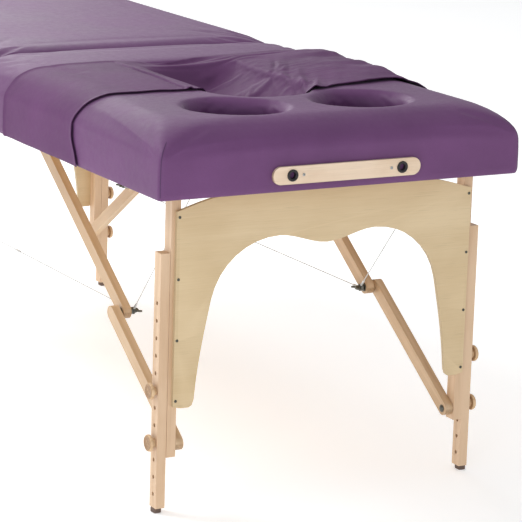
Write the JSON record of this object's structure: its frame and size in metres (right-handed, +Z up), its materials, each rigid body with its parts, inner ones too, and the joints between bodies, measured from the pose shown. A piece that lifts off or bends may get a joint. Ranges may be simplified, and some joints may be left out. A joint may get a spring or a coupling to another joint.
{
  "type": "portable pregnancy massage table",
  "caption": "Folding padded massage table with belly and chest recesses, a belly sling, braced folding legs with sliding extensions, and sockets for a face cradle.",
  "frame": {"origin": "on the floor, under the middle of the table, where the two halves meet", "axes": "+X across the table to the right seen from the head end, -Y towards the head end with the face cradle sockets, +Z up"},
  "size_m": [0.792, 1.8635, 0.76],
  "materials": {
    "padding": "matt",
    "vinyl": "satin",
    "frame_wood": "satin lacquer",
    "leg_wood": "satin lacquer",
    "brace_wood": "satin lacquer",
    "knob_wood": "satin lacquer",
    "bracket_steel": "satin",
    "bright_steel": "brushed",
    "cable_steel": "stranded",
    "socket_plastic": "matt",
    "pad_rubber": "matt"
  },
  "bodies": {
    "head_frame": {"head_rail_left": "frame_wood", "head_rail_right": "frame_wood", "head_end_rail": "frame_wood", "head_mid_rail": "frame_wood", "head_deck": "leg_wood", "head_cushion": "padding", "belly_sling": "vinyl", "outlet_plate": "leg_wood", "outlet_sockets": "socket_plastic", "outlet_screws": "bright_steel", "head_brackets": "bracket_steel", "mid_hinge_head": "bracket_steel"},
    "foot_frame": {"foot_rail_left": "frame_wood", "foot_rail_right": "frame_wood", "foot_end_rail": "frame_wood", "foot_mid_rail": "frame_wood", "foot_deck": "leg_wood", "foot_cushion": "padding", "foot_brackets": "bracket_steel", "mid_hinge_foot": "bracket_steel"},
    "head_legs": {"head_post_left": "leg_wood", "head_post_right": "leg_wood", "head_leg_panel": "leg_wood", "head_panel_screws": "bright_steel", "head_brace_bolts": "bracket_steel"},
    "head_upper_braces": {"head_upper_brace_left": "brace_wood", "head_upper_brace_right": "brace_wood", "head_knee_bolts": "bracket_steel", "head_short_cables": "cable_steel"},
    "head_lower_braces": {"head_lower_brace_left": "brace_wood", "head_lower_brace_right": "brace_wood"},
    "head_cables": {"head_long_cables": "cable_steel"},
    "head_left_extension": {"head_extension_left": "leg_wood", "head_pad_left": "pad_rubber"},
    "head_left_upper_knob": {"head_knob_left_upper": "knob_wood"},
    "head_left_lower_knob": {"head_knob_left_lower": "knob_wood"},
    "head_right_extension": {"head_extension_right": "leg_wood", "head_pad_right": "pad_rubber"},
    "head_right_upper_knob": {"head_knob_right_upper": "knob_wood"},
    "head_right_lower_knob": {"head_knob_right_lower": "knob_wood"},
    "foot_legs": {"foot_post_left": "leg_wood", "foot_post_right": "leg_wood", "foot_leg_panel": "leg_wood", "foot_panel_screws": "bright_steel", "foot_brace_bolts": "bracket_steel"},
    "foot_upper_braces": {"foot_upper_brace_left": "brace_wood", "foot_upper_brace_right": "brace_wood", "foot_knee_bolts": "bracket_steel", "foot_short_cables": "cable_steel"},
    "foot_lower_braces": {"foot_lower_brace_left": "brace_wood", "foot_lower_brace_right": "brace_wood"},
    "foot_cables": {"foot_long_cables": "cable_steel"},
    "foot_left_extension": {"foot_extension_left": "leg_wood", "foot_pad_left": "pad_rubber"},
    "foot_left_upper_knob": {"foot_knob_left_upper": "knob_wood"},
    "foot_left_lower_knob": {"foot_knob_left_lower": "knob_wood"},
    "foot_right_extension": {"foot_extension_right": "leg_wood", "foot_pad_right": "pad_rubber"},
    "foot_right_upper_knob": {"foot_knob_right_upper": "knob_wood"},
    "foot_right_lower_knob": {"foot_knob_right_lower": "knob_wood"}
  },
  "joints": [
    {"name": "mid_fold", "type": "hinge", "parent": "head_frame", "child": "foot_frame", "pos_m": [0, 0, 0.622], "axis": [-1, 0, 0], "range_deg": [0, 100], "deforming": ["head_long_cables", "foot_long_cables"]},
    {"name": "head_leg_fold", "type": "hinge", "parent": "head_frame", "child": "head_legs", "pos_m": [0, -0.842, 0.65], "axis": [1, 0, 0], "range_deg": [0, 90], "deforming": ["head_short_cables"]},
    {"name": "head_upper_brace_fold", "type": "hinge", "parent": "head_frame", "child": "head_upper_braces", "pos_m": [0, -0.08, 0.648], "axis": [1, 0, 0], "range_deg": [-35.5, 0]},
    {"name": "head_lower_brace_fold", "type": "hinge", "parent": "head_legs", "child": "head_lower_braces", "pos_m": [0, -0.844, 0.1325], "axis": [1, 0, 0], "range_deg": [0, 53.7]},
    {"name": "head_cable_swing", "type": "hinge", "parent": "head_upper_braces", "child": "head_cables", "pos_m": [0, -0.56334, 0.32187], "axis": [1, 0, 0], "range_deg": [0, 35.5]},
    {"name": "head_left_height", "type": "slide", "parent": "head_legs", "child": "head_left_extension", "axis": [0, 0, 1], "range_m": [-0.102, 0.102]},
    {"name": "head_left_upper_knob_turn", "type": "hinge", "parent": "head_left_extension", "child": "head_left_upper_knob", "pos_m": [-0.36, -0.845, 0.241], "axis": [-1, 0, 0], "continuous": true},
    {"name": "head_left_lower_knob_turn", "type": "hinge", "parent": "head_left_extension", "child": "head_left_lower_knob", "pos_m": [-0.36, -0.845, 0.139], "axis": [-1, 0, 0], "continuous": true},
    {"name": "head_right_height", "type": "slide", "parent": "head_legs", "child": "head_right_extension", "axis": [0, 0, 1], "range_m": [-0.102, 0.102]},
    {"name": "head_right_upper_knob_turn", "type": "hinge", "parent": "head_right_extension", "child": "head_right_upper_knob", "pos_m": [0.36, -0.845, 0.241], "axis": [1, 0, 0], "continuous": true},
    {"name": "head_right_lower_knob_turn", "type": "hinge", "parent": "head_right_extension", "child": "head_right_lower_knob", "pos_m": [0.36, -0.845, 0.139], "axis": [1, 0, 0], "continuous": true},
    {"name": "foot_leg_fold", "type": "hinge", "parent": "foot_frame", "child": "foot_legs", "pos_m": [0, 0.842, 0.65], "axis": [-1, 0, 0], "range_deg": [0, 90], "deforming": ["foot_short_cables"]},
    {"name": "foot_upper_brace_fold", "type": "hinge", "parent": "foot_frame", "child": "foot_upper_braces", "pos_m": [0, 0.08, 0.648], "axis": [-1, 0, 0], "range_deg": [-35.5, 0]},
    {"name": "foot_lower_brace_fold", "type": "hinge", "parent": "foot_legs", "child": "foot_lower_braces", "pos_m": [0, 0.844, 0.1325], "axis": [-1, 0, 0], "range_deg": [0, 53.7]},
    {"name": "foot_cable_swing", "type": "hinge", "parent": "foot_upper_braces", "child": "foot_cables", "pos_m": [0, 0.56334, 0.32187], "axis": [-1, 0, 0], "range_deg": [0, 35.5]},
    {"name": "foot_left_height", "type": "slide", "parent": "foot_legs", "child": "foot_left_extension", "axis": [0, 0, 1], "range_m": [-0.102, 0.102]},
    {"name": "foot_left_upper_knob_turn", "type": "hinge", "parent": "foot_left_extension", "child": "foot_left_upper_knob", "pos_m": [-0.36, 0.845, 0.241], "axis": [-1, 0, 0], "continuous": true},
    {"name": "foot_left_lower_knob_turn", "type": "hinge", "parent": "foot_left_extension", "child": "foot_left_lower_knob", "pos_m": [-0.36, 0.845, 0.139], "axis": [-1, 0, 0], "continuous": true},
    {"name": "foot_right_height", "type": "slide", "parent": "foot_legs", "child": "foot_right_extension", "axis": [0, 0, 1], "range_m": [-0.102, 0.102]},
    {"name": "foot_right_upper_knob_turn", "type": "hinge", "parent": "foot_right_extension", "child": "foot_right_upper_knob", "pos_m": [0.36, 0.845, 0.241], "axis": [1, 0, 0], "continuous": true},
    {"name": "foot_right_lower_knob_turn", "type": "hinge", "parent": "foot_right_extension", "child": "foot_right_lower_knob", "pos_m": [0.36, 0.845, 0.139], "axis": [1, 0, 0], "continuous": true}
  ],
  "couplings": [
    {"joint": "head_upper_brace_fold", "follows": "head_leg_fold", "ratio": -0.39317},
    {"joint": "head_lower_brace_fold", "follows": "head_leg_fold", "ratio": 0.59579},
    {"joint": "head_cable_swing", "follows": "head_leg_fold", "ratio": 0.39317},
    {"joint": "foot_upper_brace_fold", "follows": "foot_leg_fold", "ratio": -0.39317},
    {"joint": "foot_lower_brace_fold", "follows": "foot_leg_fold", "ratio": 0.59579},
    {"joint": "foot_cable_swing", "follows": "foot_leg_fold", "ratio": 0.39317}
  ]
}
